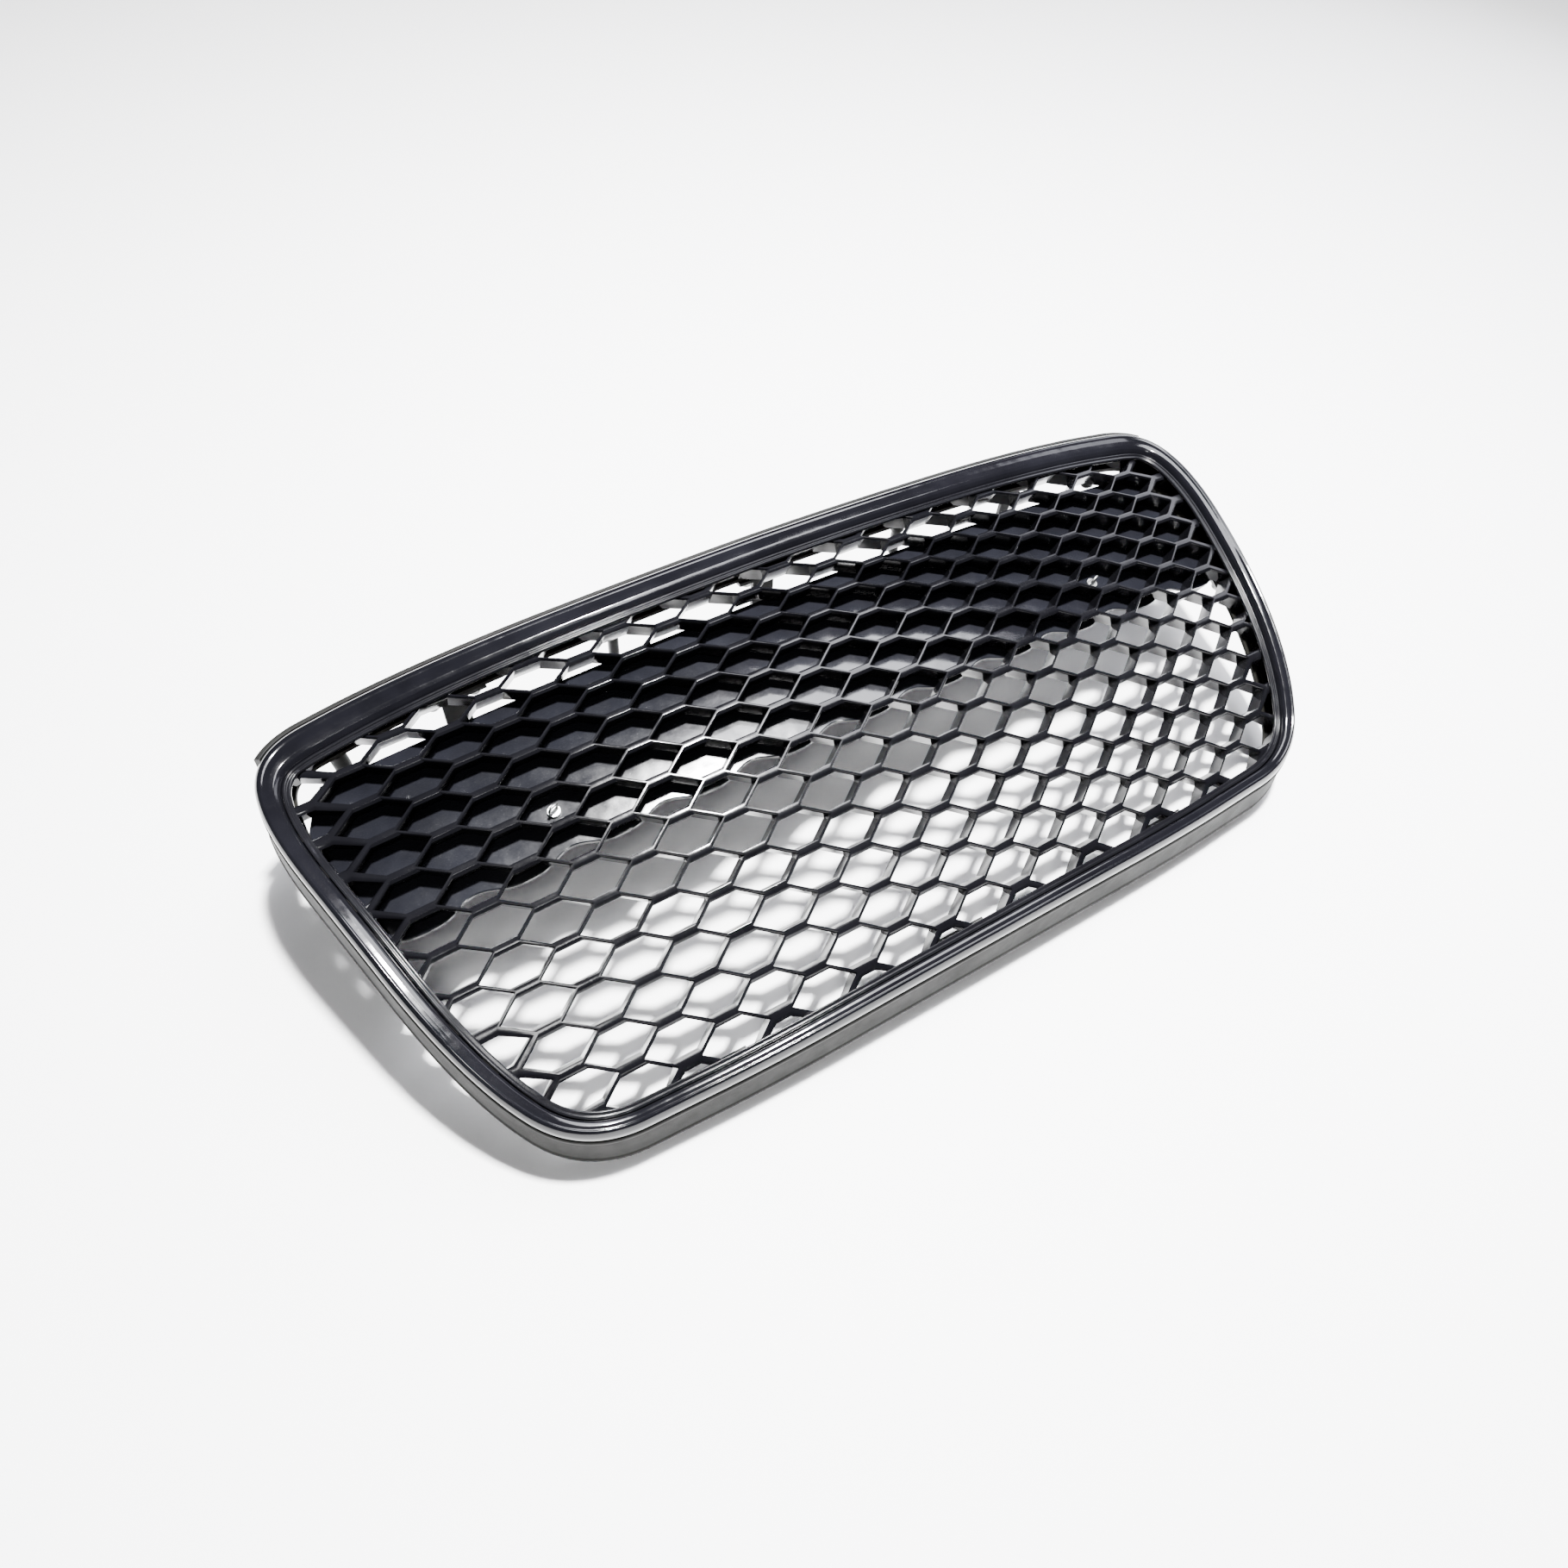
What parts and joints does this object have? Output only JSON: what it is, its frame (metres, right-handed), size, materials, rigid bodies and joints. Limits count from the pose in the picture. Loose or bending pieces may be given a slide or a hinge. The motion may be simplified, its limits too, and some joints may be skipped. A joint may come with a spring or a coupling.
{
  "type": "front grille",
  "caption": "Vehicle front grille with a wide honeycomb mesh in a glossy bead frame, with a closed band behind the upper cells.",
  "frame": {"origin": "centre of the bounding box at floor level, with the grille lying on its back", "axes": "+X to the right seen from the front, +Y towards the upper edge, +Z out of the face, along the depth of the cells"},
  "size_m": [0.6722, 0.2972, 0.1188],
  "materials": {
    "bezel": "high gloss black",
    "lip": "gloss black",
    "frame": "satin grey",
    "mesh": "gloss black",
    "panel": "semi gloss black",
    "seal": "satin rubber",
    "bracket": "moulded black",
    "fastener": "zinc plated steel",
    "pad": "matte rubber"
  },
  "bodies": {
    "root": {"bezel": "bezel", "inner_lip": "lip", "carrier_frame": "frame", "mesh_insert": "mesh", "blanking_panel": "panel", "panel_eyes": "fastener", "panel_rivets": "mesh", "top_seal": "seal", "top_seal_clips": "bracket", "upper_bracket_left": "bracket", "upper_bracket_right": "bracket", "upper_bracket_center": "bracket", "bracket_screws": "fastener", "spring_nuts": "fastener", "lower_hook_left": "bracket", "lower_hook_right": "bracket", "lower_center_tab": "bracket", "hook_screws": "fastener", "side_clip_left": "fastener", "side_clip_right": "fastener", "clip_screws": "fastener", "bump_pads": "pad", "locating_pins": "bracket"}
  },
  "joints": []
}
